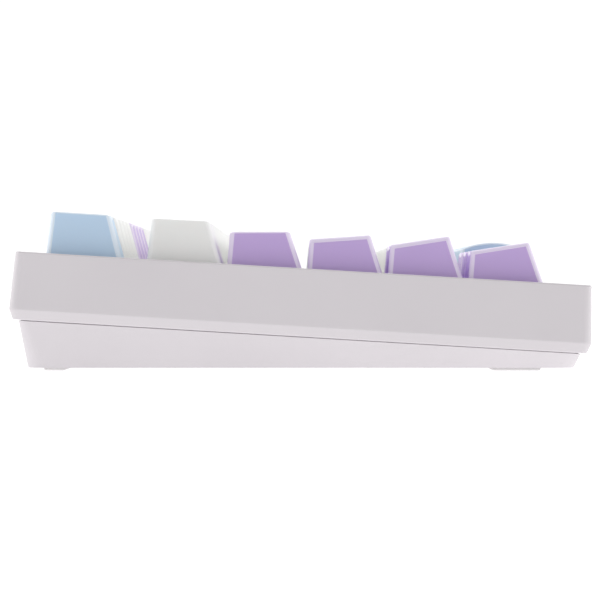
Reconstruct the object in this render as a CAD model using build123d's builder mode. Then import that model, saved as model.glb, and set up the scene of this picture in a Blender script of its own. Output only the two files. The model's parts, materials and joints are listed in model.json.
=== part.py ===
"""A wired mechanical keyboard of the compact 75 percent layout: 83 keys in six rows.

The keys, the switch plate and the circuit board lie on one sloping deck inside a two-piece
plastic case. Deck sizes run across (X), up the slope towards the back (Y of the deck plane)
and square to the slope (Z of the deck plane, zero at the rim of the top case). The row frame
has +X to the typist's right, +Y to the back and +Z up, with its origin on the desk, under the
middle of the case. Millimetres and degrees.
"""

import os
from math import asin, atan, cos, degrees, radians, sin, tan

from build123d import *

os.makedirs("parts", exist_ok=True)

# Deck and key field
typing_angle = 3.4
key_pitch = 19.05
field_units = 16.25  # keys across the widest row, gaps included
row_units = 6.25  # six rows and the quarter-unit gap behind the number row
rim_mid_height = 24.3  # rim of the top case above the desk, at its middle

# Top case
front_margin = 9.7  # from the key field to the outside of the rim
back_margin = 6.6
side_margin = 6.6
opening_gap = 0.5  # key field to the edge of the opening
top_case_height = 16.0
chamfer_height = 2.4
chamfer_depth = 1.0
wall_draft = typing_angle  # so that the front wall stands upright
case_corner = 1.8
rim_shelf = 5.5  # solid depth of the rim, above the cavity
rim_fillet = 0.45
lip_fillet = 0.8
hem_fillet = 0.5
top_wall = 3.6  # at the rim

# Bottom case
seam_inset = 2.2  # widest line of the top case to the top of the bottom case
shadow_gap = 0.22
shadow_width = 0.6
side_taper = 4.2  # how far the sides draw in, from the seam to the floor
back_taper = 1.8
front_taper = 1.3
seam_corner = 2.2
floor_corner = 4.5
floor_thickness = 2.0
bottom_wall = 2.2
upstand_height = 4.6
upstand_thickness = 1.6
shell_clearance = 0.15
snap_length = 8.0
snap_depth = 0.7
snap_height = 1.2
snap_clearance = 0.2

# Rubber feet
foot_proud = 0.85
foot_recess = 0.6
foot_length = 38.0
front_foot_width = 12.0
back_foot_width = 5.5
front_foot_inset = 13.23  # from the front edge of the floor
back_foot_inset = 5.91  # from the back edge of the floor
foot_side_inset = 27.79  # from the side edge of the floor

# Flip feet
flip_side_inset = 43.79  # from the side edge of the floor
flip_width = 28.0
flip_length = 20.0
flip_thickness = 4.2
flip_back_inset = 15.31  # from the back edge of the floor to the hinge
flip_clearance = 0.3
flip_pin_radius = 1.2
flip_pin_length = 1.6
flip_pin_clearance = 0.08
flip_finger_room = 4.0
flip_tip_length = 2.4
flip_pocket_wall = 2.2
flip_pocket_roof = 1.5

# Plate, board and foam
rim_over_plate = 8.3
plate_thickness = 1.5
plate_margin = 1.5
plate_to_board = 5.0  # plate top to board top
board_thickness = 1.6
board_margin = 0.4
foam_gap = 0.1
case_foam_thickness = 1.0

# Screws
screw_shank = 1.9
screw_head = 3.2
screw_head_height = 1.3
screw_bite = 3.4  # into a standoff
screw_slot = 0.5
screw_clearance = 0.35
pilot_clearance = 0.05
pilot_depth = 4.0
standoff_radius = 2.3

# Keycaps
key_gap = 0.95
keycap_skirt = 2.13  # how far the skirts sit below the rim
key_travel = 4.0
keycap_wall = 1.4
keycap_roof = 1.5
keycap_side_slope = 14.5
keycap_edge = 0.7
dish_depth = 0.8
space_top_radius = 20.0
post_radius = 2.75
socket_clearance = 0.05

# Switches
switch_cutout = 14.0
switch_body = 13.8
switch_flange = 15.6
flange_height = 1.0
cover_height = 6.6  # above the plate
cover_top = 10.6
cover_roof = 1.0
cover_bore = 9.0
slider_length = 6.6
slider_width = 5.8
slider_clearance = 0.2
slider_bottom = 1.4
slider_top = 7.0
slider_flange = 8.4
slider_flange_bottom = 3.6
slider_flange_play = 0.1
cross_length = 4.0
cross_bar = 1.25
cross_height = 3.4
spring_pocket = 4.8
spring_top = 5.0
spring_outer = 2.2
spring_inner = 1.75
base_floor = -3.8
base_bore = 11.0
guide_side = 1.3
guide_bottom = -2.0
guide_clearance = 0.15
guide_play = 1.5
pole_radius = 1.95
pole_length = 3.3
pole_clearance = 0.1
leaf_thickness = 0.3
leaf_top = 0.6
fixed_leaf_top = -0.7
pin_width = 0.8
pin_clearance = 0.1
pin_bottom = -8.0
socket_height = 1.85

# Stabilisers
stabiliser_reach = 11.938  # centre to post on keys of 2 to 2.25 units
space_reach = 50.0
wire_radius = 0.75
wire_clearance = 0.05
wire_bend = 1.6
wire_axis_v = -8.8
wire_axis_h = 0.9
wire_slot = 2.2
stabiliser_width = 7.0
stabiliser_front = -6.0
stabiliser_back = 5.8
stabiliser_top = 2.8
insert_length = 3.9
insert_width = 4.6
insert_clearance = 0.2
insert_bottom = 1.3
clip_from = 1.3
clip_to = 3.3
clip_front = -9.75
clip_top = 1.9
clip_mouth = 1.2

# Plug socket
plug_gap_units = 5.375  # in the gap between the second and the third group of function keys
plug_width = 8.94
plug_height = 3.26
plug_length = 7.3
plug_wall = 0.35
plug_clearance = 0.3
plug_inset = 4.08  # from the back edge of the rim to the mouth of the socket
plug_headroom = 0.2  # free height over the socket
tongue_height = 0.7
tongue_width = 6.69
recess_width = 12.6
recess_height = 6.6

# Derived sizes
screw_length = plate_to_board + board_thickness + screw_bite
slope = radians(typing_angle)
field_width = field_units * key_pitch
field_depth = row_units * key_pitch
rim_width = field_width + 2 * side_margin
rim_depth = field_depth + front_margin + back_margin
field_v = (front_margin - back_margin) / 2
lip_drop = top_case_height - chamfer_height
lip_growth = lip_drop * tan(radians(wall_draft))
lip_width = rim_width + 2 * lip_growth
lip_depth = rim_depth + 2 * lip_growth
front_face_y = -rim_depth / 2 * cos(slope)
back_face_y = lip_depth / 2 * cos(slope) + lip_drop * sin(slope)
deck_y = -(front_face_y + back_face_y) / 2
deck = Plane(origin=(0, deck_y, rim_mid_height), x_dir=(1, 0, 0), z_dir=(0, -sin(slope), cos(slope)))
deck_axis = Axis(deck.origin, deck.z_dir)
plate = deck.offset(-rim_over_plate)
seam = deck.offset(-top_case_height)
floor_plane = Plane.XY.offset(foot_proud)
cavity_width = rim_width - 2 * top_wall
cavity_depth = rim_depth - 2 * top_wall
seam_width = lip_width - 2 * seam_inset
seam_depth = lip_depth - 2 * seam_inset
upstand_width = cavity_width - 2 * shell_clearance
upstand_depth = cavity_depth - 2 * shell_clearance
inside_width = upstand_width - 2 * upstand_thickness
inside_depth = upstand_depth - 2 * upstand_thickness
seam_shift_y = deck_y + top_case_height * sin(slope)
floor_back_y = seam_shift_y + seam_depth / 2 * cos(slope) - back_taper
floor_front_y = seam_shift_y - seam_depth / 2 * cos(slope) + front_taper
floor_width = seam_width - 2 * side_taper
floor_depth = floor_back_y - floor_front_y
floor_mid_y = (floor_back_y + floor_front_y) / 2
foot_x = floor_width / 2 - foot_side_inset
front_foot_y = floor_front_y + front_foot_inset
back_foot_y = floor_back_y - back_foot_inset
flip_x = floor_width / 2 - flip_side_inset
flip_hinge_y = floor_back_y - flip_back_inset
plug_face_v = rim_depth / 2 - plug_inset
keycap_lift = rim_over_plate - keycap_skirt
board_top = -plate_to_board
board_bottom = board_top - board_thickness
base_bottom = -plate_to_board

# Keycap side profiles: back top corner and front top corner, across the cell and above the skirt
profiles = {
    "tall": ((8.45, 12.1), (-4.95, 12.1)),
    "upper": ((8.8, 9.85), (-4.95, 10.75)),
    "home": ((8.85, 9.25), (-4.9, 11.05)),
    "lower": ((8.8, 8.85), (-4.45, 11.8)),
    "space": ((8.5, 9.8), (-5.5, 11.4)),
}

# The layout: each row has its profile and its keys from the left, with their widths in units.
# A key called "" is a gap.
letters_top, letters_home, letters_bottom = "qwertyuiop", "asdfghjkl", "zxcvbnm"


def singles(names):
    """One-unit keys with these names."""
    return [(name, 1) for name in names]


quarter_gap = [("", 0.25)]
layout = [
    ("tall", 5.75, singles(["escape"]) + quarter_gap + singles(["f1", "f2", "f3", "f4"]) + quarter_gap
     + singles(["f5", "f6", "f7", "f8"]) + quarter_gap + singles(["f9", "f10", "f11", "f12"]) + quarter_gap
     + singles(["delete"]) + quarter_gap + singles(["insert"])),
    ("tall", 4.5, singles(["grave", *"1234567890", "minus", "equals"]) + [("backspace", 2)] + quarter_gap
     + singles(["home"])),
    ("upper", 3.5, [("tab", 1.5)] + singles([*letters_top, "left_bracket", "right_bracket"])
     + [("backslash", 1.5)] + quarter_gap + singles(["page_up"])),
    ("home", 2.5, [("caps_lock", 1.75)] + singles([*letters_home, "semicolon", "quote"])
     + [("enter", 2.25)] + quarter_gap + singles(["page_down"])),
    ("lower", 1.5, [("left_shift", 2.25)] + singles([*letters_bottom, "comma", "period", "slash"])
     + [("right_shift", 1.75)] + quarter_gap + singles(["up", "end"])),
    ("lower", 0.5, [("left_control", 1.25), ("left_system", 1.25), ("left_alt", 1.25), ("space", 6.25)]
     + singles(["right_alt", "function", "right_control"]) + quarter_gap
     + singles(["left", "down", "right"])),
]
single_keys = ["escape", "tab", "caps_lock", "left_shift", "left_control", "space", "enter", "backspace",
               *letters_top, *letters_home, *letters_bottom]
key_groups = {
    "function_keys": [f"f{n}" for n in range(1, 13)],
    "number_keys": ["grave", *"1234567890", "minus", "equals"],
    "punctuation_keys": ["left_bracket", "right_bracket", "backslash", "semicolon", "quote", "comma",
                         "period", "slash"],
    "modifier_keys": ["left_system", "left_alt", "right_alt", "function", "right_control", "right_shift"],
    "navigation_keys": ["insert", "delete", "home", "page_up", "page_down", "end", "up", "left", "down",
                        "right"],
}
stabilised = {"space": space_reach, "left_shift": stabiliser_reach, "enter": stabiliser_reach,
              "backspace": stabiliser_reach}


def place_keys():
    """Each key's width in units, its profile and the middle of its cell on the deck."""
    keys = {}
    for profile, row, row_keys in layout:
        left = 0.0
        v = field_v - field_depth / 2 + row * key_pitch
        for name, units in row_keys:
            if name:
                u = -field_width / 2 + (left + units / 2) * key_pitch
                keys[name] = (units, "space" if name == "space" else profile, u, v)
            left += units
    return keys


keys = place_keys()
cells = [(u, v) for _, _, u, v in keys.values()]
screw_points = [(-7.35, 5.125), (-2.47, 5.125), (2.47, 5.125), (7.35, 5.125), (-3.99, 2), (0, 2),
                (3.675, 2), (-4.99, 1), (0.525, 1), (6.72, 1)]  # in key units from the middle and the front
screws = [(across * key_pitch, field_v - field_depth / 2 + up * key_pitch) for across, up in screw_points]
stabiliser_posts = {name: [(keys[name][2] + side * reach, keys[name][3]) for side in (-1, 1)]
                    for name, reach in stabilised.items()}
all_posts = [post for posts in stabiliser_posts.values() for post in posts]


def on_plate(shape, u, v, lift=0.0):
    """The shape, drawn about its own origin, standing on the plate at u, v."""
    return shape.moved(plate.location * Pos(u, v, lift))


def export_node(name, shapes):
    """Writes the solids of one node."""
    solids = [solid for shape in shapes for solid in shape.solids()]
    node = solids[0] if len(solids) == 1 else Compound(solids)
    node.label = name
    export_step(node, f"parts/{name}.step")


# Top case: a tapered frame with a solid rim, a cavity below it and a chamfered lower edge.
snap_points = [(x, side) for x in (-110, -55, 0, 55, 110) for side in (-1, 1)]
snap_level = -top_case_height + upstand_height - 1.6
plug_u = -field_width / 2 + plug_gap_units * key_pitch
plug_w = -rim_over_plate - plate_to_board + plug_height / 2

with BuildPart() as top_case:
    with BuildSketch(deck):
        RectangleRounded(rim_width, rim_depth, case_corner)
    extrude(amount=-lip_drop, taper=-wall_draft)
    with BuildSketch(deck.offset(-lip_drop)):
        RectangleRounded(lip_width, lip_depth, case_corner + lip_growth)
    extrude(amount=-chamfer_height, taper=degrees(atan(chamfer_depth / chamfer_height)))
    outlines = top_case.edges().filter_by(lambda edge: abs(edge.tangent_at(0.5).dot(deck.z_dir)) < 0.01)
    fillet(outlines.group_by(deck_axis, tol_digits=2)[1], lip_fillet)
    fillet(top_case.faces().sort_by(deck_axis)[0].edges(), hem_fillet)
    with BuildSketch(deck.offset(-rim_shelf)):
        RectangleRounded(cavity_width, cavity_depth, case_corner)
    extrude(amount=-top_case_height, mode=Mode.SUBTRACT)
    with BuildSketch(deck):
        with Locations((0, field_v)):
            RectangleRounded(field_width + 2 * opening_gap, field_depth + 2 * opening_gap, case_corner)
    extrude(amount=-top_case_height, mode=Mode.SUBTRACT)
    fillet(top_case.faces().sort_by(deck_axis)[-1].edges(), rim_fillet)
    with Locations(deck.location * Pos(plug_u, rim_depth / 2, plug_w)):
        Box(recess_width, 4 * top_wall, recess_height, mode=Mode.SUBTRACT)
    for x, side in snap_points:
        with Locations(deck.location * Pos(x, side * cavity_depth / 2, snap_level)):
            Box(snap_length + 2 * snap_clearance, 2 * (snap_depth + snap_clearance),
                snap_height + 2 * snap_clearance, mode=Mode.SUBTRACT)
top_case.part.label = "top_case"
export_step(top_case.part, "parts/top_case.step")

# Bottom case: a wedge-shaped tray with an upstand that clips inside the top case, standoffs for
# the board, shallow seats for the rubber feet and a pocket for each flip foot.
flip_hinge_z = foot_proud + 0.15 + flip_thickness / 2
pocket_front_y = flip_hinge_y + flip_thickness / 2 - flip_length - flip_finger_room
pocket_back_y = flip_hinge_y + flip_thickness / 2 + 1.3
pocket_length = pocket_back_y - pocket_front_y
pocket_width = flip_width + 2 * flip_clearance
pocket_top = flip_hinge_z + flip_thickness / 2 + flip_clearance
pocket_mid_y = (pocket_front_y + pocket_back_y) / 2
foot_seats = [(side * foot_x, y, width) for side in (-1, 1)
              for y, width in ((front_foot_y, front_foot_width), (back_foot_y, back_foot_width))]

with BuildPart() as tray_outside:
    with BuildSketch(seam):
        RectangleRounded(seam_width, seam_depth, seam_corner)
    with BuildSketch(floor_plane):
        with Locations((0, floor_mid_y)):
            RectangleRounded(floor_width, floor_depth, floor_corner)
    loft(ruled=True)

with BuildPart() as tray_inside:
    with BuildSketch(seam):
        RectangleRounded(inside_width, inside_depth, case_corner)
    with BuildSketch(floor_plane.offset(floor_thickness)):
        with Locations((0, floor_mid_y)):
            RectangleRounded(floor_width - 2 * bottom_wall, floor_depth - 2 * bottom_wall, floor_corner)
    loft(ruled=True)

with BuildPart() as standoffs:
    with BuildSketch(plate.offset(board_bottom)):
        with Locations(*screws):
            Circle(standoff_radius)
    extrude(amount=-rim_mid_height)
    add(tray_outside.part, mode=Mode.INTERSECT)

with BuildPart() as bottom_case:
    add(tray_outside.part)
    add(tray_inside.part, mode=Mode.SUBTRACT)
    with BuildSketch(seam):
        RectangleRounded(seam_width + 2, seam_depth + 2, seam_corner)
        RectangleRounded(seam_width - 2 * shadow_width, seam_depth - 2 * shadow_width, seam_corner,
                         mode=Mode.SUBTRACT)
    extrude(amount=-shadow_gap, mode=Mode.SUBTRACT)
    with BuildSketch(seam):
        RectangleRounded(upstand_width, upstand_depth, case_corner)
        RectangleRounded(inside_width, inside_depth, case_corner, mode=Mode.SUBTRACT)
    extrude(amount=upstand_height)
    add(standoffs.part)
    with Locations(deck.location):
        for x, side in snap_points:
            with Locations(Pos(x, side * (upstand_depth / 2 - upstand_thickness / 2), snap_level)):
                Box(snap_length, upstand_thickness + 2 * (snap_depth - shell_clearance), snap_height)
        with Locations(Pos(plug_u, upstand_depth / 2, plug_w)):
            Box(plug_width + 2 * plug_clearance, 4 * upstand_thickness, plug_height + 2 * plug_clearance,
                mode=Mode.SUBTRACT)
    with Locations(*[Pos(side * flip_x, pocket_mid_y, foot_proud) for side in (-1, 1)]):
        Box(pocket_width + 2 * flip_pocket_wall, pocket_length + 2 * flip_pocket_roof,
            pocket_top + flip_pocket_roof - foot_proud, align=(Align.CENTER, Align.CENTER, Align.MIN))
        Box(pocket_width, pocket_length, pocket_top - foot_proud,
            align=(Align.CENTER, Align.CENTER, Align.MIN), mode=Mode.SUBTRACT)
    with Locations(*[Location((side * flip_x, flip_hinge_y, flip_hinge_z), (0, 90, 0)) for side in (-1, 1)]):
        Cylinder(flip_pin_radius + flip_pin_clearance, pocket_width + 2 * flip_pin_length,
                 mode=Mode.SUBTRACT)
    for x, y, width in foot_seats:
        with Locations((x, y, foot_proud)):
            Box(foot_length, width, foot_recess, align=(Align.CENTER, Align.CENTER, Align.MIN),
                mode=Mode.SUBTRACT)
    with BuildSketch(plate.offset(board_bottom)):
        with Locations(*screws):
            Circle(screw_shank / 2 + pilot_clearance)
    extrude(amount=-pilot_depth, mode=Mode.SUBTRACT)
bottom_case.part.label = "bottom_case"
export_step(bottom_case.part, "parts/bottom_case.step")

# Rubber feet: four pads glued into their seats.
with BuildPart() as rubber_feet:
    for x, y, width in foot_seats:
        with BuildSketch(Plane.XY):
            with Locations((x, y)):
                RectangleRounded(foot_length - 0.4, width - 0.3, 1.6)
        extrude(amount=foot_proud + foot_recess)
    chamfer(rubber_feet.faces().filter_by(Axis.Z).group_by(Axis.Z)[0].edges(), 0.35)
rubber_feet.part.label = "rubber_feet"
export_step(rubber_feet.part, "parts/rubber_feet.step")


def make_flip_foot(side, name):
    """A fold-out foot with its two hinge pins and a rubber tip."""
    x = side * flip_x
    with BuildPart() as foot:
        with BuildSketch(Plane.YZ.offset(x - flip_width / 2)):
            with Locations((flip_hinge_y, flip_hinge_z)):
                Circle(flip_thickness / 2)
            with Locations((flip_hinge_y, flip_hinge_z)):
                Rectangle(flip_length - flip_thickness / 2 - flip_tip_length, flip_thickness,
                          align=(Align.MAX, Align.CENTER))
        extrude(amount=flip_width)
        with Locations(Location((x, flip_hinge_y, flip_hinge_z), (0, 90, 0))):
            Cylinder(flip_pin_radius, flip_width + 2 * flip_clearance + 2 * flip_pin_length - 0.4)
        with Locations((x, flip_hinge_y - flip_length / 2, flip_hinge_z - flip_thickness / 2)):
            Box(flip_width - 6, flip_length / 2, 1.2, align=(Align.CENTER, Align.CENTER, Align.MIN),
                mode=Mode.SUBTRACT)
    with BuildPart() as tip:
        with Locations((x, flip_hinge_y + flip_thickness / 2 - flip_length, flip_hinge_z)):
            Box(flip_width, flip_tip_length, flip_thickness, align=(Align.CENTER, Align.MIN, Align.CENTER))
        chamfer(tip.faces().sort_by(Axis.Y)[0].edges(), 0.6)
    export_node(name, [foot.part, tip.part])


for side, name in ((-1, "flip_foot_left"), (1, "flip_foot_right")):
    make_flip_foot(side, name)

# Switch plate, circuit board and the two foam sheets.
stabiliser_slot_depth = stabiliser_back - stabiliser_front + 0.4
stabiliser_slot_v = (stabiliser_back + stabiliser_front) / 2
stabiliser_slots = [(u, v + stabiliser_slot_v) for u, v in all_posts]

with BuildPart() as switch_plate:
    with BuildSketch(plate):
        with Locations((0, field_v)):
            RectangleRounded(field_width + 2 * plate_margin, field_depth + 2 * plate_margin, 2)
        with Locations(*cells):
            Rectangle(switch_cutout, switch_cutout, mode=Mode.SUBTRACT)
        with Locations(*stabiliser_slots):
            Rectangle(stabiliser_width + 0.4, stabiliser_slot_depth, mode=Mode.SUBTRACT)
        with Locations(*[(u, v + wire_axis_v) for u, v in all_posts]):
            Rectangle(wire_slot, -wire_axis_v, align=(Align.CENTER, Align.MIN), mode=Mode.SUBTRACT)
        with Locations(*screws):
            Circle(screw_shank / 2 + screw_clearance, mode=Mode.SUBTRACT)
    extrude(amount=-plate_thickness)
    with Locations(plate.location * Pos(plug_u, plug_face_v, board_top)):
        Box(plug_width + 2 * plug_clearance, 2 * (plug_length + plug_clearance), plug_height + plug_headroom,
            align=(Align.CENTER, Align.CENTER, Align.MIN), mode=Mode.SUBTRACT)
switch_plate.part.label = "switch_plate"
export_step(switch_plate.part, "parts/switch_plate.step")

pin_a = (-3.81, 2.54)
pin_b = (2.54, 5.08)
with BuildPart() as circuit_board:
    with BuildSketch(plate.offset(board_top)):
        with Locations((0, field_v)):
            RectangleRounded(field_width + 2 * board_margin, field_depth + 2 * board_margin, 1.5)
        with Locations(*cells):
            Circle(pole_radius + pole_clearance, mode=Mode.SUBTRACT)
            for pin in (pin_a, pin_b):
                with Locations(pin):
                    Rectangle(pin_width + 2 * pin_clearance, pin_width + 2 * pin_clearance,
                              mode=Mode.SUBTRACT)
        with Locations(*screws):
            Circle(screw_shank / 2 + screw_clearance, mode=Mode.SUBTRACT)
    extrude(amount=-board_thickness)
with BuildPart() as board_chips:
    for u, side in ((-92, 9.0), (-20, 7.0), (94, 5.0)):
        with Locations(plate.location * Pos(u, screws[0][1], board_bottom)):
            Box(side, side, 1.2, align=(Align.CENTER, Align.CENTER, Align.MAX))
export_node("circuit_board", [circuit_board.part, board_chips.part])

foam_thickness = plate_to_board - plate_thickness - 2 * foam_gap
with BuildPart() as plate_foam:
    with BuildSketch(plate.offset(-plate_thickness - foam_gap)):
        with Locations((0, field_v)):
            RectangleRounded(field_width, field_depth, 1)
        with Locations(*cells):
            Rectangle(switch_cutout + 0.4, switch_cutout + 0.4, mode=Mode.SUBTRACT)
        with Locations(*stabiliser_slots):
            Rectangle(stabiliser_width + 0.8, stabiliser_slot_depth + 0.4, mode=Mode.SUBTRACT)
        with Locations(*screws):
            Circle(screw_head / 2, mode=Mode.SUBTRACT)
        with Locations((plug_u, plug_face_v - plug_length / 2)):
            Rectangle(plug_width + 0.4, plug_length + 0.4, mode=Mode.SUBTRACT)
    extrude(amount=-foam_thickness)
plate_foam.part.label = "plate_foam"
export_step(plate_foam.part, "parts/plate_foam.step")

with BuildPart() as case_foam:
    with BuildSketch(floor_plane.offset(floor_thickness)):
        with Locations((0, floor_mid_y)):
            RectangleRounded(floor_width - 2 * bottom_wall - 2, floor_depth - 2 * bottom_wall - 2,
                             floor_corner - 1)
        with Locations(*[(side * flip_x, pocket_mid_y) for side in (-1, 1)]):
            Rectangle(pocket_width + 2 * flip_pocket_wall + 1, pocket_length + 2 * flip_pocket_roof + 1,
                      mode=Mode.SUBTRACT)
    extrude(amount=case_foam_thickness)
    with BuildSketch(plate.offset(board_bottom)):
        with Locations(*screws):
            Circle(standoff_radius + 0.5)
    extrude(amount=-rim_mid_height, mode=Mode.SUBTRACT)
case_foam.part.label = "case_foam"
export_step(case_foam.part, "parts/case_foam.step")

# Plate screws: pan heads on the plate, shanks through the board into the standoffs.
with BuildPart() as plate_screw:
    Cylinder(screw_head / 2, screw_head_height, align=(Align.CENTER, Align.CENTER, Align.MIN))
    chamfer(plate_screw.edges().group_by(Axis.Z)[-1], 0.4)
    with Locations((0, 0, screw_head_height)):
        Box(screw_head - 1.0, screw_slot, 1.2, mode=Mode.SUBTRACT)
        Box(screw_slot, screw_head - 1.0, 1.2, mode=Mode.SUBTRACT)
    Cylinder(screw_shank / 2, screw_length, align=(Align.CENTER, Align.CENTER, Align.MAX))
export_node("plate_screws", [on_plate(plate_screw.part, u, v) for u, v in screws])

# Plug socket: a metal shell with its contact tongue, on the back edge of the board.
with BuildPart() as plug_shell:
    with BuildSketch(Plane.XZ):
        RectangleRounded(plug_width, plug_height, plug_height / 2 - 0.05)
    extrude(amount=plug_length)
    offset(amount=-plug_wall, openings=plug_shell.faces().sort_by(Axis.Y)[-1])
with BuildPart() as plug_tongue:
    with Locations((0, -plug_length + plug_wall, 0)):
        Box(tongue_width, plug_length - 2 * plug_wall - 0.6, tongue_height,
            align=(Align.CENTER, Align.MIN, Align.CENTER))
export_node("usb_socket", [on_plate(shape, plug_u, plug_face_v, plug_w + rim_over_plate)
                           for shape in (plug_shell.part, plug_tongue.part)])

# One switch: a base in the plate, a tapered cover, a coil spring and two contact leaves.
with BuildPart() as switch_base:
    with BuildSketch(Plane.XY.offset(base_bottom)):
        Rectangle(switch_body, switch_body)
    extrude(amount=-base_bottom)
    with BuildSketch(Plane.XY):
        Rectangle(switch_flange, switch_flange)
    extrude(amount=flange_height)
    with BuildSketch(Plane.XY.offset(base_floor)):
        Rectangle(base_bore, base_bore)
    extrude(amount=flange_height - base_floor, mode=Mode.SUBTRACT)
    with BuildSketch(Plane.XY.offset(base_bottom)):
        RegularPolygon(pole_radius, 8)
    extrude(amount=-pole_length)
    with BuildSketch(Plane.XY.offset(base_floor)):
        Rectangle(guide_side + 2 * guide_clearance, guide_side + 2 * guide_clearance)
    extrude(amount=guide_bottom - key_travel - guide_play - base_floor, mode=Mode.SUBTRACT)
    for u, v in (pin_a, pin_b):
        with Locations((u, v, base_bottom)):
            Box(pin_width + 2 * pin_clearance, leaf_thickness + 2 * pin_clearance, 4, mode=Mode.SUBTRACT)
export_node("switch_bases", [on_plate(switch_base.part, u, v) for u, v in cells])

with BuildPart() as switch_cover:
    with BuildSketch(Plane.XY.offset(flange_height)):
        Rectangle(switch_flange, switch_flange)
    with BuildSketch(Plane.XY.offset(cover_height)):
        Rectangle(cover_top, cover_top)
    loft(ruled=True)
    with BuildSketch(Plane.XY.offset(flange_height)):
        Rectangle(cover_bore, cover_bore)
    extrude(amount=cover_height - cover_roof - flange_height, mode=Mode.SUBTRACT)
    with BuildSketch(Plane.XY.offset(flange_height)):
        Rectangle(slider_length + 2 * slider_clearance, slider_width + 2 * slider_clearance)
    extrude(amount=cover_height, mode=Mode.SUBTRACT)
export_node("switch_covers", [on_plate(switch_cover.part, u, v) for u, v in cells])

with BuildPart() as switch_spring:
    with BuildSketch(Plane.XY.offset(base_floor)):
        Circle(spring_outer)
        Circle(spring_inner, mode=Mode.SUBTRACT)
    extrude(amount=spring_top - base_floor)
export_node("switch_springs", [on_plate(switch_spring.part, u, v) for u, v in cells])

with BuildPart() as fixed_leaf:
    with Locations((pin_a[0], pin_a[1], pin_bottom)):
        Box(pin_width, leaf_thickness, fixed_leaf_top - pin_bottom,
            align=(Align.CENTER, Align.CENTER, Align.MIN))
with BuildPart() as moving_leaf:
    with Locations((pin_b[0], pin_b[1], pin_bottom)):
        Box(pin_width, leaf_thickness, leaf_top - pin_bottom, align=(Align.CENTER, Align.CENTER, Align.MIN))
    with Locations((pin_b[0], pin_b[1], base_floor + 0.3)):
        Box(3.4, leaf_thickness, leaf_top - base_floor - 0.3, align=(Align.CENTER, Align.CENTER, Align.MIN))
export_node("switch_contacts", [on_plate(leaf, u, v) for u, v in cells
                                for leaf in (fixed_leaf.part, moving_leaf.part)])

with BuildPart() as hot_swap_socket:
    with BuildSketch(Plane.XY.offset(board_bottom)):
        with Locations((-4.25, 2.55)):
            Rectangle(4.1, 4.1)
        with Locations((1.3, 4.8)):
            Rectangle(7.4, 4.3)
        with Locations(pin_a, pin_b):
            Rectangle(pin_width + 2 * pin_clearance, leaf_thickness + 2 * pin_clearance, mode=Mode.SUBTRACT)
    extrude(amount=-socket_height)
export_node("hot_swap_sockets", [on_plate(hot_swap_socket.part, u, v) for u, v in cells])

# The slider of a switch: a hollow block with a retaining flange, a guide pin and the cross
# that carries the keycap.
with BuildSketch() as cross_outline:
    Rectangle(cross_length, cross_bar)
    Rectangle(cross_bar, cross_length)

with BuildPart() as slider:
    with BuildSketch(Plane.XY.offset(slider_bottom)):
        Rectangle(slider_length, slider_width)
    extrude(amount=slider_top - slider_bottom)
    with BuildSketch(Plane.XY.offset(slider_flange_bottom)):
        Rectangle(slider_flange, slider_width)
    extrude(amount=cover_height - cover_roof - slider_flange_play - slider_flange_bottom)
    with BuildSketch(Plane.XY.offset(slider_bottom)):
        Rectangle(spring_pocket, spring_pocket)
    extrude(amount=spring_top - slider_bottom, mode=Mode.SUBTRACT)
    with BuildSketch(Plane.XY.offset(guide_bottom)):
        Rectangle(guide_side, guide_side)
    extrude(amount=slider_top - guide_bottom)
    with BuildSketch(Plane.XY.offset(slider_top)):
        add(cross_outline.sketch)
    extrude(amount=cross_height)

# A stabiliser: a slotted housing that clips round the wire, an insert like a second slider and
# the wire, whose ends ride in the inserts.
wire_arm = -wire_axis_v
wire_angle = degrees(asin(key_travel / 2 / wire_arm))

with BuildPart() as stabiliser_housing:
    with Locations((0, stabiliser_slot_v, base_bottom)):
        Box(stabiliser_width, stabiliser_back - stabiliser_front, stabiliser_top - base_bottom,
            align=(Align.CENTER, Align.CENTER, Align.MIN))
    for side in (-1, 1):
        with Locations((side * (clip_from + clip_to) / 2, stabiliser_front, 0.1)):
            Box(clip_to - clip_from, stabiliser_front - clip_front, clip_top - 0.1,
                align=(Align.CENTER, Align.MAX, Align.MIN))
    with Locations(Location((0, wire_axis_v, wire_axis_h), (0, 90, 0))):
        Cylinder(wire_radius + wire_clearance, stabiliser_width, mode=Mode.SUBTRACT)
    with Locations((0, wire_axis_v, wire_axis_h)):
        Box(stabiliser_width, 3, clip_mouth, align=(Align.CENTER, Align.MAX, Align.CENTER),
            mode=Mode.SUBTRACT)
    with Locations((0, 0, base_bottom + 0.8)):
        Box(insert_length + 2 * insert_clearance, insert_width + 2 * insert_clearance, 20,
            align=(Align.CENTER, Align.CENTER, Align.MIN), mode=Mode.SUBTRACT)
        Box(wire_slot, 2 * wire_arm, 20, align=(Align.CENTER, Align.MAX, Align.MIN), mode=Mode.SUBTRACT)
export_node("stabiliser_housings", [on_plate(stabiliser_housing.part, u, v) for u, v in all_posts])

with BuildPart() as insert:
    with BuildSketch(Plane.XY.offset(insert_bottom)):
        Rectangle(insert_length, insert_width)
    extrude(amount=slider_top - insert_bottom)
    with BuildSketch(Plane.YZ):
        with BuildLine():
            Polyline((-insert_width / 2 - 0.1, 1.4), (1.3, 2.0), (1.3, 3.8), (-insert_width / 2 - 0.1, 4.5),
                     close=True)
        make_face()
    extrude(amount=wire_radius + 0.1, both=True, mode=Mode.SUBTRACT)
    with BuildSketch(Plane.XY.offset(slider_top)):
        add(cross_outline.sketch)
    extrude(amount=cross_height)


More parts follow.
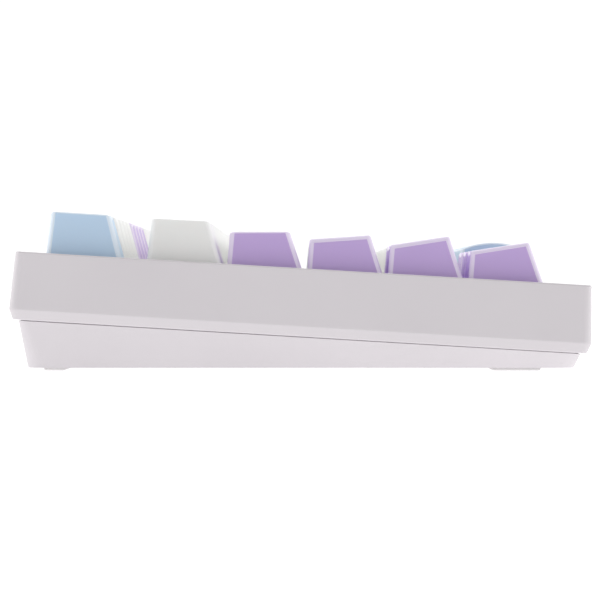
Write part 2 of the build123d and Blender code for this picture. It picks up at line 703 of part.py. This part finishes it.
def make_wire(name):
    """The wire of one stabilised key: a bar along the front and an arm into each insert."""
    reach = stabilised[name]
    rise = radians(wire_angle)
    end = (wire_axis_v + wire_arm * cos(rise), wire_axis_h + wire_arm * sin(rise))
    with BuildPart() as wire:
        with BuildLine() as path:
            FilletPolyline((-reach, *end), (-reach, wire_axis_v, wire_axis_h),
                           (reach, wire_axis_v, wire_axis_h), (reach, *end), radius=wire_bend)
        with BuildSketch(Plane(path.line @ 0, z_dir=path.line % 0)):
            Circle(wire_radius)
        sweep()
    _, _, u, v = keys[name]
    export_node(f"stabiliser_wire_{name}", [on_plate(wire.part, u, v)])


for name in stabilised:
    make_wire(name)


# Keycaps


def key_block(width, corners, spread, arc_radius=None):
    """A solid with the side profile through the corners, its two sides drawn in by the side slope.
    Spread is how far the skirt reaches behind and in front of the middle."""
    (back_v, back_h), (front_v, front_h) = corners
    with BuildPart() as block:
        with BuildSketch(Plane.YZ):
            with BuildLine():
                Polyline((front_v, front_h), (-spread, 0), (spread, 0), (back_v, back_h))
                if arc_radius:
                    RadiusArc((back_v, back_h), (front_v, front_h), -arc_radius)
                else:
                    Line((back_v, back_h), (front_v, front_h))
            make_face()
        extrude(amount=width / 2, both=True)
        for side in (-1, 1):
            lean = radians(keycap_side_slope)
            face = Plane(origin=(side * width / 2, 0, 0), x_dir=(0, 1, 0),
                         z_dir=(side * cos(lean), 0, sin(lean)))
            split(bisect_by=face, keep=Keep.BOTTOM)
    return block.part


def make_keycap(units, profile):
    """A hollow keycap with a dished or, on the space bar, a crowned top and its posts."""
    width = units * key_pitch - key_gap
    spread = (key_pitch - key_gap) / 2
    (back_v, back_h), (front_v, front_h) = profiles[profile]
    crowned = profile == "space"
    sink = keycap_roof + (0 if crowned else dish_depth)
    inner = ((back_v - keycap_wall, back_h - sink), (front_v + keycap_wall, front_h - sink))
    posts = [(0, 0)]
    if units >= 2:
        reach = space_reach if crowned else stabiliser_reach
        posts += [(-reach, 0), (reach, 0)]
    with BuildPart() as cap:
        add(key_block(width, profiles[profile], spread, space_top_radius if crowned else None))
        fillet([edge for edge in cap.edges() if (edge @ 0.5).Z > 0.01], keycap_edge)
        if not crowned:
            tilt = atan((front_h - back_h) / (back_v - front_v))
            top_width = width - tan(radians(keycap_side_slope)) * (back_h + front_h)
            dish_width = top_width - 1.6 * keycap_edge
            radius = dish_width ** 2 / (8 * dish_depth) + dish_depth / 2
            rise = radius - dish_depth
            centre = (0, (back_v + front_v) / 2 + rise * sin(tilt),
                      (back_h + front_h) / 2 + rise * cos(tilt))
            with Locations(Location(centre, (90 - degrees(tilt), 0, 0))):
                Cylinder(radius, 3 * key_pitch, mode=Mode.SUBTRACT)
        add(key_block(width - 2 * keycap_wall, inner, spread - keycap_wall), mode=Mode.SUBTRACT)
        post_bottom = slider_top - keycap_lift + socket_clearance
        with BuildSketch(Plane.XY.offset(post_bottom)):
            with Locations(*posts):
                Circle(post_radius)
        extrude(until=Until.NEXT)
        with BuildSketch(Plane.XY.offset(post_bottom)):
            with Locations(*posts):
                Rectangle(cross_length + 2 * socket_clearance, cross_bar + 2 * socket_clearance)
                Rectangle(cross_bar + 2 * socket_clearance, cross_length + 2 * socket_clearance)
        extrude(amount=cross_height + 0.2, mode=Mode.SUBTRACT)
    return cap.part


shapes = {kind: make_keycap(*kind) for kind in sorted({key[:2] for key in keys.values()})}


def key_solids(name):
    """One key's keycap, its slider and, on a wide key, its stabiliser inserts."""
    units, profile, u, v = keys[name]
    cap = on_plate(shapes[units, profile], u, v, keycap_lift)
    sliders = [on_plate(slider.part, u, v)]
    inserts = [on_plate(insert.part, *post) for post in stabiliser_posts.get(name, [])]
    return [cap, *sliders, *inserts]


for name in single_keys:
    export_node(f"key_{name}", key_solids(name))
for group, members in key_groups.items():
    export_node(group, [solid for name in members for solid in key_solids(name)])
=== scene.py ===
"""A compact mechanical keyboard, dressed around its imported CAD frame.

The CAD gives every place and size. The keycaps, which the CAD holds as plain solids, are modelled
again here with rounded edges and true dishes, and every piece gets its moulded, painted or metal
finish. Metres, +X to the typist's right, +Y to the back, +Z up.
"""

import json
import math

import bmesh
import bpy
from mathutils import Matrix, Vector


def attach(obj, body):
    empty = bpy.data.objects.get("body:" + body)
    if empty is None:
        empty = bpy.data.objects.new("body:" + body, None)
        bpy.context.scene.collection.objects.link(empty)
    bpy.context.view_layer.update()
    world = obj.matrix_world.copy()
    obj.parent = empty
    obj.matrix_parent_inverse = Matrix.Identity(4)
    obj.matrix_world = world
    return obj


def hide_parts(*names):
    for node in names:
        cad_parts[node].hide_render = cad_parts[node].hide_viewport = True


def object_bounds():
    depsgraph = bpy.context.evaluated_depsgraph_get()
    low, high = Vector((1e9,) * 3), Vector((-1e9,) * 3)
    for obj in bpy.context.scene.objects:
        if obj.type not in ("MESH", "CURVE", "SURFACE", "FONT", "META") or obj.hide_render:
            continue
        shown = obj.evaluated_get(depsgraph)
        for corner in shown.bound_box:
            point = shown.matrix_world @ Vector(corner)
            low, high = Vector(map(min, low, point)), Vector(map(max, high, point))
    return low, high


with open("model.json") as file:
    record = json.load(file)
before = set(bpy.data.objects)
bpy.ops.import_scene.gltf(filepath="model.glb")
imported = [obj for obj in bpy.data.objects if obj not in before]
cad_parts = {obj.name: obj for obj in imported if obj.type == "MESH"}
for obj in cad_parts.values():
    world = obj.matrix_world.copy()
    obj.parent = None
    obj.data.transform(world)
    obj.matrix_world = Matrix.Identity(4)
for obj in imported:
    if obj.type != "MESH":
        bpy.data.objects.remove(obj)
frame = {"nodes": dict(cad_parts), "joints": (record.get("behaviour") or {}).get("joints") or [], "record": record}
cad_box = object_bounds()
MM = 0.001

# ---------------------------------------------------------------- the camera

camera_distance = 850 * MM  # from the left wall of the case
camera_height = 20.4 * MM  # above the desk
camera_back = -0.4 * MM  # from the middle of the case
focal_length = 218.0  # on a 36 mm sensor, a long lens seen square on
aim_back = 0.00055  # how far the view turns to the back and down, per unit of depth
aim_down = -0.00413
nearest_seen = 0.05  # metres
furthest_seen = 20

camera_data = bpy.data.cameras.new("side_camera")
camera_data.lens = focal_length
camera = bpy.data.objects.new("side_camera", camera_data)
bpy.context.scene.collection.objects.link(camera)
camera.location = (cad_box[0].x - camera_distance, camera_back, camera_height)
camera.rotation_mode = "QUATERNION"
camera.rotation_quaternion = Vector((1, aim_back, aim_down)).to_track_quat("-Z", "Y")
camera_data.clip_start = nearest_seen
camera_data.clip_end = furthest_seen
bpy.context.scene.camera = camera

# ---------------------------------------------------------------- keycap sizes, in millimetres

skirt_depth = 2.13  # below the rim
cap_gap = 0.95  # between neighbours in a row
skirt_front = 9.05  # from the middle of a cap to its skirts
skirt_back = 9.5
cap_wall = 1.4
cap_roof = 1.5
mouth_border = 0.05  # between a wall and the hollow that rises inside it
side_slope = math.tan(math.radians(14.5))
corner_radius = 1.1
corner_steps = 6
edge_radius = 0.45
edge_steps = 5
edge_shape = 0.4  # a little flatter than a round
flat_border = 0.06  # fine border of each flat wall, which keeps it flat in the shading
flat_area = 20  # square millimetres: a flat wall has more, a strip of a rounded edge less
dish_depth = 0.85
space_crown = 20.0  # radius of the space bar's top
crown_level = 5  # all of a space bar that is higher belongs to its top
top_strips = 12  # that a top is cut into, so that it can be curved
true_edge = 40  # degrees between faces, over which an edge stays sharp

plate_depth = 8.3  # from the rim down to the switch plate
keycap_lift = plate_depth - skirt_depth  # from the plate to the skirt of a cap
slider_size = (6.6, 5.8, 5.6)
slider_bottom = 1.4  # above the plate
slider_top = 7.0
slider_wall = 0.5
spring_pocket_depth = 3.6
cross_length = 4.0
cross_bar = 1.25
cross_height = 3.4

homing_bar_size = (4.0, 0.7, 0.7)
homing_bar_sunk = 0.25
homing_bar_radius = 0.25
homing_bar_place = 3.2  # behind the front edge of the top

# The third slot holds the paler copy of the cap's finish, a painted highlight on its rounded edges.
cap_slot, slider_slot, painted_highlight_slot = 0, 1, 2  # a keycap piece's material slots

# Each row's side profile: back top corner, then front top corner, from the middle of the skirt.
profiles = {
    "function": ((9.0, 12.25), (-5.1, 12.2)),
    "number": ((8.9, 12.0), (-4.8, 12.15)),
    "upper": ((9.25, 9.85), (-4.85, 10.75)),
    "home": ((9.35, 9.25), (-4.9, 11.1)),
    "lower": ((9.25, 8.95), (-4.55, 11.95)),
    "bottom": ((9.2, 8.7), (-4.45, 11.7)),
    "space": ((8.5, 9.8), (-5.5, 11.4)),
}

# ---------------------------------------------------------------- the deck, measured on the CAD

q_press = next(joint for joint in frame["joints"] if joint["name"] == "q_press")
press_axis = Vector(q_press["axis"]).normalized()
deck_normal = -press_axis
deck_slope = Vector((1, 0, 0)).cross(press_axis).normalized()
if deck_slope.y < 0:
    deck_slope.negate()


def deck_box(node):
    """A CAD node's lowest and highest deck coordinates: across, up the slope, square to it."""
    points = [v.co for v in frame["nodes"][node].data.vertices]
    rows = [(p.x, p.dot(deck_slope), p.dot(deck_normal)) for p in points]
    return Vector(map(min, zip(*rows))), Vector(map(max, zip(*rows)))


def middle(node):
    """The middle of a CAD node's box in deck coordinates."""
    low, high = deck_box(node)
    return (low + high) / 2


rim_level = deck_box("top_case")[1].z
key_pitch = middle("key_w").x - middle("key_q").x
field_left = deck_box("key_tab")[0].x - cap_gap / 2 * MM
# A CAD node in each row, which gives the row's place on the deck.
row_nodes = {
    "function": "key_escape",
    "number": "key_backspace",
    "upper": "key_q",
    "home": "key_a",
    "lower": "key_z",
    "bottom": "key_space",
}
row_places = {row: middle(node).y for row, node in row_nodes.items()}

# ---------------------------------------------------------------- the layout

white, purple, blue = "white_keycap", "purple_keycap", "blue_keycap"


def singles(names, finish):
    """Keys of one unit and one finish."""
    return [(name, 1, finish) for name in names]


# Each key is its name, its width in key units and its finish. A name of "" is a gap.
gap = [("", 0.25, None)]
layout = {
    "function": [("escape", 1, blue)] + gap
    + singles(["f1", "f2", "f3", "f4"], white) + gap
    + singles(["f5", "f6", "f7", "f8"], purple) + gap
    + singles(["f9", "f10", "f11", "f12"], white) + gap
    + singles(["delete"], purple) + gap + singles(["insert"], purple),
    "number": singles(["grave", *"1234567890", "minus", "equals"], white)
    + [("backspace", 2, purple)] + gap + singles(["home"], purple),
    "upper": [("tab", 1.5, purple)]
    + singles([*"qwertyuiop", "left_bracket", "right_bracket"], white)
    + [("backslash", 1.5, white)] + gap + singles(["page_up"], purple),
    "home": [("caps_lock", 1.75, purple)]
    + singles([*"asdfghjkl", "semicolon", "quote"], white)
    + [("enter", 2.25, blue)] + gap + singles(["page_down"], purple),
    "lower": [("left_shift", 2.25, purple)]
    + singles([*"zxcvbnm", "comma", "period", "slash"], white)
    + [("right_shift", 1.75, purple)] + gap + singles(["up"], blue) + singles(["end"], purple),
    "bottom": [(name, 1.25, purple) for name in ("left_control", "left_system", "left_alt")]
    + [("space", 6.25, blue)]
    + singles(["right_alt", "function", "right_control"], purple) + gap
    + singles(["left", "down", "right"], blue),
}

# The keys that the CAD moves together, as one node on one body.
key_groups = {
    "function_keys": [f"f{n}" for n in range(1, 13)],
    "number_keys": ["grave", *"1234567890", "minus", "equals"],
    "punctuation_keys": [
        "left_bracket", "right_bracket", "backslash", "semicolon", "quote", "comma", "period",
        "slash",
    ],
    "modifier_keys": [
        "left_system", "left_alt", "right_alt", "function", "right_control", "right_shift",
    ],
    "navigation_keys": [
        "insert", "delete", "home", "page_up", "page_down", "end", "up", "left", "down", "right",
    ],
}
group_of = {name: group for group, names in key_groups.items() for name in names}

# ---------------------------------------------------------------- materials


def srgb(code):
    """A hex colour turned to linear values."""
    parts = [int(code[i:i + 2], 16) / 255 for i in (0, 2, 4)]
    return (*[c / 12.92 if c <= 0.04045 else ((c + 0.055) / 1.055) ** 2.4 for c in parts], 1)


def add_node(material, kind, links=(), **settings):
    """Adds a shader node, sets its inputs and properties, and links (output, input) pairs to it.
    An input is named with _ for its spaces."""
    node = material.node_tree.nodes.new(kind)
    for name, value in settings.items():
        socket = name.replace("_", " ")
        if socket in node.inputs:
            node.inputs[socket].default_value = value
        else:
            setattr(node, name, value)
    for output, name in links:
        material.node_tree.links.new(output, node.inputs[name])
    return node


drift_size = 45  # millimetres between the slow changes of shade
drift_ramp = (0.35, 0.65)  # the part of the noise over which the shade changes
gloss_spread = 0.06  # of the roughness, up and down


def grained(name, colour, shade, roughness, grain, relief, **shader):
    """A moulded or coated finish: a fine grain in the relief and the gloss, and a slow drift
    between two near shades. Grain is its size in millimetres, relief its depth in millimetres."""
    material = bpy.data.materials.new(name)
    material.use_nodes = True
    material.node_tree.nodes.clear()
    place = add_node(material, "ShaderNodeTexCoord").outputs["Object"]
    drift = add_node(material, "ShaderNodeTexNoise", [(place, "Vector")],
                     Scale=1 / (drift_size * MM), Detail=3.0)
    tint = add_node(material, "ShaderNodeValToRGB", [(drift.outputs["Fac"], "Fac")])
    for stop, position, code in zip(tint.color_ramp.elements, drift_ramp, (shade, colour)):
        stop.position = position
        stop.color = srgb(code)
    pits = add_node(material, "ShaderNodeTexNoise", [(place, "Vector")],
                    Scale=1 / (grain * MM), Detail=2.0, Roughness=0.6)
    gloss = add_node(material, "ShaderNodeMapRange", [(pits.outputs["Fac"], "Value")],
                     To_Min=roughness - gloss_spread, To_Max=roughness + gloss_spread)
    bump = add_node(material, "ShaderNodeBump", [(pits.outputs["Fac"], "Height")],
                    Strength=0.6, Distance=relief * MM)
    surface = add_node(material, "ShaderNodeBsdfPrincipled",
                       [(tint.outputs["Color"], "Base Color"),
                        (gloss.outputs["Result"], "Roughness"),
                        (bump.outputs["Normal"], "Normal")], **shader)
    add_node(material, "ShaderNodeOutputMaterial", [(surface.outputs["BSDF"], "Surface")])
    return material


# ABS case, moulded in a spark-eroded tool: a soft satin white with a very fine grain.
abs_case = grained("white_abs", "d7d2d6", "d3ced2", 0.48, 0.35, 0.015, IOR=1.54)
# PBT keycaps, moulded and slightly rough: matt, and light bleeds a little into their edges.
pbt = {
    "IOR": 1.57,
    "Subsurface_Weight": 0.25,
    "Subsurface_Radius": (1, 0.9, 0.9),
    "Subsurface_Scale": 1.2 * MM,
}
pbt_white = grained("white_pbt", "f8f8f6", "f4f4f2", 0.4, 0.3, 0.02, **pbt)
pbt_purple = grained("lavender_pbt", "ceb4e9", "cab0e5", 0.4, 0.3, 0.02, **pbt)
pbt_blue = grained("pale_blue_pbt", "c7dff6", "c3dbf2", 0.4, 0.3, 0.02, **pbt)
# The same plastics on the rounded edges, with a painted highlight: paler copies whose colour stands in for the
# light that catches the edges, and a little smoother.
painted_highlight_white = grained("white_pbt_painted_highlight", "fbfbfa", "f8f8f7", 0.33, 0.3, 0.01, IOR=1.57)
painted_highlight_purple = grained("lavender_pbt_painted_highlight", "f0e4fc", "ece0f8", 0.33, 0.3, 0.01, IOR=1.57)
painted_highlight_blue = grained("pale_blue_pbt_painted_highlight", "e4f0fc", "e0ecf8", 0.33, 0.3, 0.01, IOR=1.57)
# Silicone rubber pads: pale, dull and a little uneven.
silicone = grained("pale_silicone", "d8d6d6", "cfcdcd", 0.75, 0.5, 0.03, IOR=1.41)
# Powder-coated steel plate: white with a light orange peel.
powder_coat = grained("white_powder_coat", "eeeeee", "e8e8e9", 0.42, 0.9, 0.02, IOR=1.5)
# Solder mask on glass-fibre board: dark and slightly shiny.
solder_mask = grained("black_solder_mask", "16191a", "101314", 0.35, 0.8, 0.005, IOR=1.5)
# Closed-cell foam sheet: dull and pitted.
cell_foam = grained("dark_foam", "2b2b2e", "222224", 0.9, 0.8, 0.15, IOR=1.45)
# Zinc-plated screws, satin bright.
zinc_steel = grained("zinc_steel", "c5c6c8", "b9babd", 0.32, 0.4, 0.004, Metallic=1.0)
# Nickel-plated socket shell, brighter than the screws.
nickel_steel = grained("nickel_steel", "cfcdc8", "c6c4bf", 0.24, 0.4, 0.003, Metallic=1.0)
# Nylon switch bases and stabiliser housings: milky and satin.
nylon = grained("milky_nylon", "ecebe8", "e5e4e1", 0.5, 0.5, 0.01, IOR=1.53)
# Polycarbonate switch covers: glossy and nearly white.
polycarbonate = grained("frosted_polycarbonate", "f1f2f4", "e9eaec", 0.28, 0.7, 0.004,
                        IOR=1.58)
# Plated music wire for springs and stabiliser wires.
music_wire = grained("music_wire", "bdb9b0", "b0aca3", 0.28, 0.5, 0.003, Metallic=1.0)
# Phosphor bronze contact leaves: warm, softly bright.
bronze = grained("phosphor_bronze", "cda663", "bf9855", 0.3, 0.4, 0.003, Metallic=1.0)
# Glass-filled nylon socket bodies under the board.
filled_nylon = grained("black_filled_nylon", "1d1d1f", "18181a", 0.55, 0.4, 0.01, IOR=1.53)
# Acetal sliders: smooth, a soft violet.
acetal = grained("violet_acetal", "a98fd0", "a389ca", 0.32, 0.6, 0.004, IOR=1.48)

finishes = {
    "case_shell": abs_case,
    "white_keycap": pbt_white,
    "purple_keycap": pbt_purple,
    "blue_keycap": pbt_blue,
    "rubber": silicone,
    "plate_paint": powder_coat,
    "board": solder_mask,
    "foam": cell_foam,
    "screw_steel": zinc_steel,
    "plug_shell": nickel_steel,
    "switch_housing": nylon,
    "switch_cover": polycarbonate,
    "spring_steel": music_wire,
    "contact_brass": bronze,
    "socket_plastic": filled_nylon,
}
# The painted highlight of each keycap finish: its paler copy for the rounded edges.
painted_highlight_finishes = {
    "white_keycap": painted_highlight_white,
    "purple_keycap": painted_highlight_purple,
    "blue_keycap": painted_highlight_blue,
}
for part in frame["record"]["subparts"]:
    node = frame["nodes"][part["node"]]
    node.data.materials.clear()
    node.data.materials.append(finishes[part["material_slot"]])

# ---------------------------------------------------------------- keycaps


def on_deck(u, v, w):
    """The matrix that stands a shape, drawn in millimetres, on the deck."""
    turn = Matrix((Vector((1, 0, 0)), deck_slope, deck_normal)).transposed().to_4x4()
    place = Vector((u, 0, 0)) + deck_slope * v + deck_normal * w
    return Matrix.Translation(place) @ turn @ Matrix.Scale(MM, 4)


def cut_across(cap, places, direction):
    """Cuts the whole shape at each place along a direction, so that it can be curved."""
    for place in places:
        geometry = cap.verts[:] + cap.edges[:] + cap.faces[:]
        bmesh.ops.bisect_plane(cap, geom=geometry, plane_co=direction * place, plane_no=direction)


def spread_evenly(reach, steps):
    """Places between -reach and reach, ends left out."""
    return [reach * (2 * i / steps - 1) for i in range(1, steps)]


def round_off(cap, edges, radius, steps):
    """Rounds edges of a keycap and gives the new faces the paler finish that paints a highlight on them."""
    faces = bmesh.ops.bevel(cap, geom=edges, offset=radius, offset_type="OFFSET", segments=steps,
                            profile=edge_shape, affect="EDGES", material=-1)["faces"]
    for face in faces:
        face.material_index = painted_highlight_slot


def make_cap(units, profile):
    """A hollow keycap about the middle of its skirt: walls, rounded edges, and a top dished
    across or, on the space bar, crowned front to back. Its walls lean in towards the top."""
    crowned = profile == "space"
    (back_v, back_h), (front_v, front_h) = profiles[profile]
    half_width = (units * key_pitch / MM - cap_gap) / 2
    cap = bmesh.new()
    bmesh.ops.create_cube(cap, size=1)
    for vert in cap.verts:
        side = math.copysign(1, vert.co.x)
        back = vert.co.y > 0
        if vert.co.z > 0:
            depth, height = (back_v, back_h) if back else (front_v, front_h)
            vert.co = (side * (half_width - height * side_slope), depth, height)
        else:
            vert.co = (side * half_width, skirt_back if back else -skirt_front, 0)
    top_half = half_width - max(back_h, front_h) * side_slope - edge_radius
    if crowned:
        places = [front_v + (back_v - front_v) * i / top_strips for i in range(1, top_strips)]
        cut_across(cap, places, Vector((0, 1, 0)))
    else:
        cut_across(cap, spread_evenly(top_half, top_strips), Vector((1, 0, 0)))
    # The four corners: edges that rise, between a side wall and the front or the back wall.
    uprights = [e for e in cap.edges if len({round(f.normal.x) for f in e.link_faces}) > 1
                and abs(e.verts[0].co.z - e.verts[1].co.z) > 1]
    round_off(cap, uprights, corner_radius, corner_steps)
    if crowned:
        crown(cap, profile)
    top_faces = {f for f in cap.faces if f.normal.z > 0.7}
    rim = [e for e in cap.edges if len(top_faces & set(e.link_faces)) == 1]
    round_off(cap, rim, edge_radius, edge_steps)
    flats = [f for f in cap.faces if abs(f.normal.z) < 0.6 and f.calc_area() > flat_area]
    bmesh.ops.inset_individual(cap, faces=flats, thickness=flat_border, use_even_offset=True)
    if not crowned:
        dish(cap, top_half + edge_radius, min(back_h, front_h))
    hollow(cap, half_width, profile)
    return cap


def crown(cap, profile):
    """Lifts the cuts across a space bar onto its crowned top."""
    (back_v, back_h), (front_v, front_h) = profiles[profile]
    chord = math.hypot(back_v - front_v, back_h - front_h)
    drop = math.sqrt(space_crown ** 2 - (chord / 2) ** 2)
    for vert in cap.verts:
        if vert.co.z > crown_level:
            along = (vert.co.y - (back_v + front_v) / 2) / (back_v - front_v) * chord
            rise = math.sqrt(max(space_crown ** 2 - along ** 2, 0)) - drop
            vert.co.z += rise


def dish(cap, reach, height):
    """Sinks the top of a keycap in an arc across it; the walls follow near the top only."""
    for vert in cap.verts:
        if vert.co.z > height - 2 * edge_radius:
            hollowing = max(0, 1 - (vert.co.x / reach) ** 2)
            vert.co.z -= dish_depth * hollowing


def hollow(cap, half_width, profile):
    """Opens the underside of a keycap, leaving its walls and its roof."""
    (back_v, back_h), (front_v, front_h) = profiles[profile]
    sink = cap_roof + (0 if profile == "space" else dish_depth)
    under = [f for f in cap.faces if f.normal.z < -0.9]
    bmesh.ops.inset_region(cap, faces=under, thickness=cap_wall, use_even_offset=True)
    inside = 0.9 * cap_wall  # less than the wall, so that the wall's own underside is left out
    under = [f for f in cap.faces if f.normal.z < -0.9
             and max(abs(v.co.x) for v in f.verts) < half_width - inside
             and max(abs(v.co.y) for v in f.verts) < skirt_back - inside]
    bmesh.ops.inset_region(cap, faces=under, thickness=mouth_border, use_even_offset=True)
    roof = {v for f in under for v in f.verts}
    inner_back = back_v - cap_wall
    inner_front = front_v + cap_wall
    shrink = (half_width - max(back_h, front_h) * side_slope - cap_wall) / (half_width - cap_wall)
    for vert in roof:
        share = (vert.co.y + skirt_front - cap_wall) / (skirt_front + skirt_back - 2 * cap_wall)
        vert.co.x *= shrink
        vert.co.y = inner_front + (inner_back - inner_front) * share
        vert.co.z = front_h + (back_h - front_h) * share - sink


def add_block(cap, size, low, slot, shift=0.0):
    """A block standing at a height over the middle of a keycap's skirt; returns its corners."""
    width, depth, height = size
    block = bmesh.ops.create_cube(cap, size=1)["verts"]
    for vert in block:
        x, y, z = vert.co
        vert.co = (x * width, y * depth + shift, low + (z + 0.5) * height)
    for face in {f for v in block for f in v.link_faces}:
        face.material_index = slot
    return block


def add_slider(cap):
    """The slider of the switch: a block with a pocket for the spring, and the cross on its top."""
    block = add_block(cap, slider_size, slider_bottom - keycap_lift, slider_slot)
    mouth = [f for f in {f for v in block for f in v.link_faces} if f.normal.z < -0.9]
    bmesh.ops.inset_individual(cap, faces=mouth, thickness=slider_wall)
    for vert in mouth[0].verts:
        vert.co.z += spring_pocket_depth
    for width, depth in ((cross_length, cross_bar), (cross_bar, cross_length)):
        add_block(cap, (width, depth, cross_height), slider_top - keycap_lift, slider_slot)


def add_homing_bar(cap, profile):
    """The small raised bar that a finger finds on the F and J keys."""
    (back_v, back_h), (front_v, front_h) = profiles[profile]
    share = homing_bar_place / (back_v - front_v)
    height = front_h + (back_h - front_h) * share - dish_depth
    bar = add_block(cap, homing_bar_size, height - homing_bar_sunk, cap_slot,
                    front_v + homing_bar_place)
    edges = {e for v in bar for e in v.link_edges}
    bmesh.ops.bevel(cap, geom=[e for e in cap.edges if e in edges], offset=homing_bar_radius,
                    offset_type="OFFSET", segments=2, profile=0.5, affect="EDGES", material=-1)


def finish_piece(name, shape, matrix, materials, body):
    """Turns a bmesh into a named piece in its place, smooth but for its true edges."""
    bmesh.ops.transform(shape, matrix=matrix, verts=shape.verts)
    bmesh.ops.recalc_face_normals(shape, faces=shape.faces)
    mesh = bpy.data.meshes.new(name)
    for edge in shape.edges:
        edge.smooth = edge.calc_face_angle(0) < math.radians(true_edge)
    for face in shape.faces:
        face.smooth = True
    shape.to_mesh(mesh)
    shape.free()
    for material in materials:
        mesh.materials.append(material)
    piece = bpy.data.objects.new(name, mesh)
    bpy.context.scene.collection.objects.link(piece)
    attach(piece, body)
    return piece


skirt_level = rim_level - skirt_depth * MM
for row, row_keys in layout.items():
    left = 0.0
    for name, units, finish in row_keys:
        if name:
            u = field_left + (left + units / 2) * key_pitch
            profile = "space" if name == "space" else row
            cap = make_cap(units, profile)
            add_slider(cap)
            if name in ("f", "j"):
                add_homing_bar(cap, profile)
            group = group_of.get(name)
            # The third material paints a highlight on the rounded edges.
            materials = [finishes[finish], acetal, painted_highlight_finishes[finish]]
            piece = finish_piece(f"keycap_{name}", cap,
                                 on_deck(u, row_places[row], skirt_level), materials,
                                 group or f"{name}_key")
            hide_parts(group or f"key_{name}")
        left += units

# ---------------------------------------------------------------- floor and light

floor_reach = 30  # metres to each side
floor_glow = 0.92  # strength of the paper's own light

# The studio's white, on all sides. A turn is where one strength passes into the next.
near_sky = 0.6  # to the left of the keyboard
far_sky = 1.06  # to its right
sky_turn = (-0.4, 0.05)  # from left to right
top_sky = 0.7  # share of it left straight overhead
top_turn = (0.35, 0.9)  # from level to overhead
side_sky = 1.3  # added low in front of the keyboard and behind it
side_turn = (0.8, 1.0)  # from the middle to the front or the back
side_lean = 0.3  # how far that glow lies to the right

floor_mesh = bpy.data.meshes.new("floor")
floor_shape = bmesh.new()
bmesh.ops.create_grid(floor_shape, x_segments=1, y_segments=1, size=floor_reach)
floor_shape.to_mesh(floor_mesh)
floor_shape.free()
floor = bpy.data.objects.new("floor", floor_mesh)
bpy.context.scene.collection.objects.link(floor)
# White background paper: matt, and lit through a little, so that it stays white.
paper = bpy.data.materials.new("white_paper")
paper.use_nodes = True
paper_shader = paper.node_tree.nodes["Principled BSDF"]
paper_shader.inputs["Base Color"].default_value = srgb("a8a8a8")
paper_shader.inputs["Roughness"].default_value = 0.9
paper_shader.inputs["Emission Color"].default_value = (1, 1, 1, 1)
paper_shader.inputs["Emission Strength"].default_value = floor_glow
floor_mesh.materials.append(paper)

world = bpy.data.worlds.new("studio")
world.use_nodes = True
sky_direction = add_node(world, "ShaderNodeTexCoord").outputs["Generated"]
sky_parts = add_node(world, "ShaderNodeSeparateXYZ", [(sky_direction, "Vector")])
sky_level = add_node(world, "ShaderNodeMapRange", [(sky_parts.outputs["X"], "Value")],
                     From_Min=sky_turn[0], From_Max=sky_turn[1], To_Min=near_sky, To_Max=far_sky)
overhead = add_node(world, "ShaderNodeMapRange", [(sky_parts.outputs["Z"], "Value")],
                    From_Min=top_turn[0], From_Max=top_turn[1], To_Min=1.0, To_Max=top_sky)
sideways = add_node(world, "ShaderNodeMath", [(sky_parts.outputs["Y"], 0)], operation="ABSOLUTE")
leaning = add_node(world, "ShaderNodeMath",
                   [(sky_parts.outputs["X"], 0), (sideways.outputs[0], 2)],
                   operation="MULTIPLY_ADD")
leaning.inputs[1].default_value = side_lean
side_glow = add_node(world, "ShaderNodeMapRange", [(leaning.outputs[0], "Value")],
                     From_Min=side_turn[0], From_Max=side_turn[1], To_Max=side_sky)
strength = add_node(world, "ShaderNodeMath",
                    [(sky_level.outputs["Result"], 0), (overhead.outputs["Result"], 1),
                     (side_glow.outputs["Result"], 2)], operation="MULTIPLY_ADD")
background = world.node_tree.nodes["Background"]
background.inputs["Color"].default_value = (1, 1, 1, 1)
world.node_tree.links.new(strength.outputs[0], background.inputs["Strength"])
bpy.context.scene.world = world

light_target = Vector((0, 0, 20 * MM))


def soft_box(name, place, size, power):
    """A square studio light that looks at the keyboard: metres and watts."""
    light = bpy.data.lights.new(name, "AREA")
    light.shape = "SQUARE"
    light.size = size
    light.energy = power
    lamp = bpy.data.objects.new(name, light)
    bpy.context.scene.collection.objects.link(lamp)
    lamp.location = place
    lamp.rotation_mode = "QUATERNION"
    lamp.rotation_quaternion = (light_target - Vector(place)).to_track_quat("-Z", "Y")


soft_box("top_light", place=(0.25, 0.0, 1.1), size=0.7, power=2.0)
soft_box("far_light", place=(1.0, 0.1, 0.7), size=0.6, power=2.0)

bpy.context.scene.view_settings.view_transform = "Standard"
